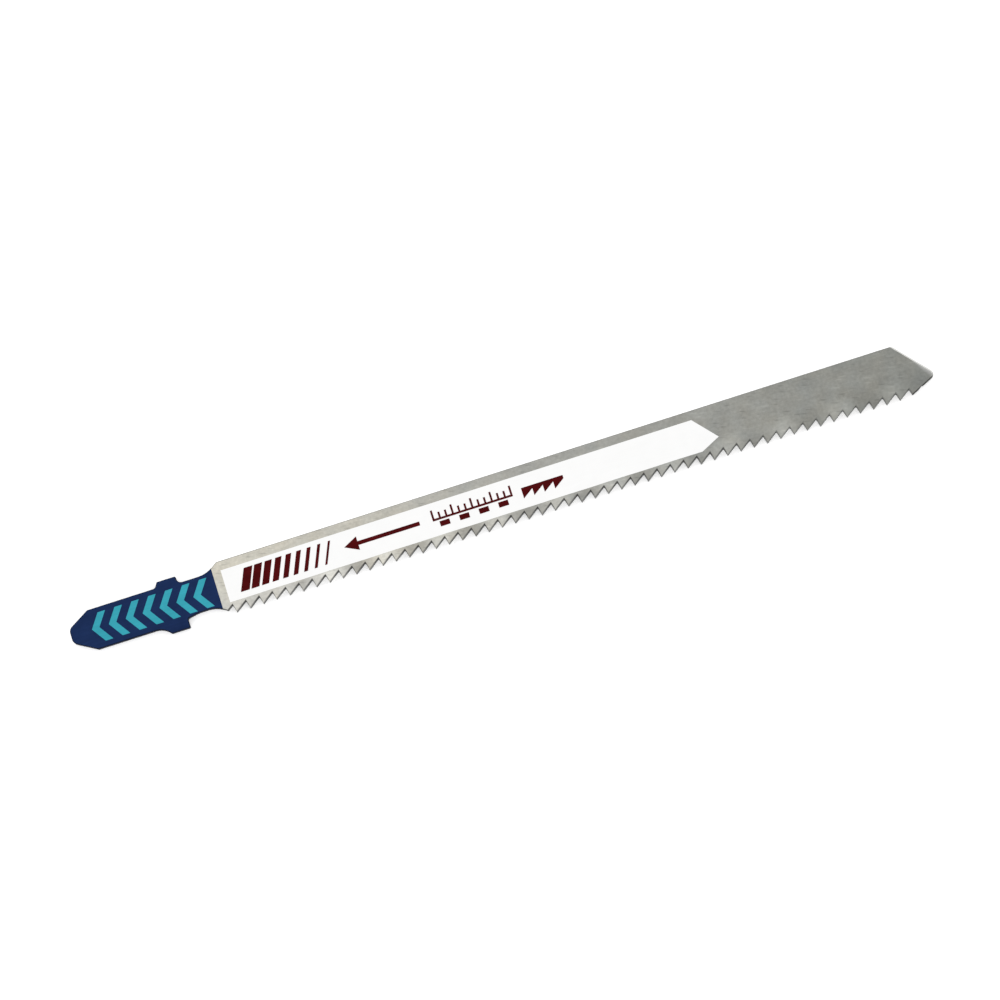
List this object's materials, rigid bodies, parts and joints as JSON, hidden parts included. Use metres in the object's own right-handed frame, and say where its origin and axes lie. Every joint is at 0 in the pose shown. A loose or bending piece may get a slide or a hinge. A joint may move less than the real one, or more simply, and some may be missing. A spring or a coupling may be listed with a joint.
{
  "type": "jigsaw blade",
  "caption": "Long T-shank jigsaw blade for metal: flat steel strip with a lugged tang, a straight back, a slanted tip and fine milled teeth on a wavy set edge.",
  "frame": {"origin": "middle of the sheet, on the centre line of the tang, level with the rear faces of the two lugs", "axes": "+X along the blade from shank to tip, +Y across it from the teeth to the smooth back, +Z out of the printed face"},
  "size_m": [0.1321, 0.0081, 0.0014],
  "materials": {
    "blade_steel": "ground lengthwise, lighter at the shank and greyer at the tip",
    "shank_lacquer": "dark blue satin lacquer over the whole shank",
    "white_print": "white printed field on the front face",
    "red_print": "dark red printed marks on the white field",
    "teal_print": "blue-green printed marks on the shank"
  },
  "bodies": {
    "root": {"blade": "blade_steel"}
  },
  "joints": []
}
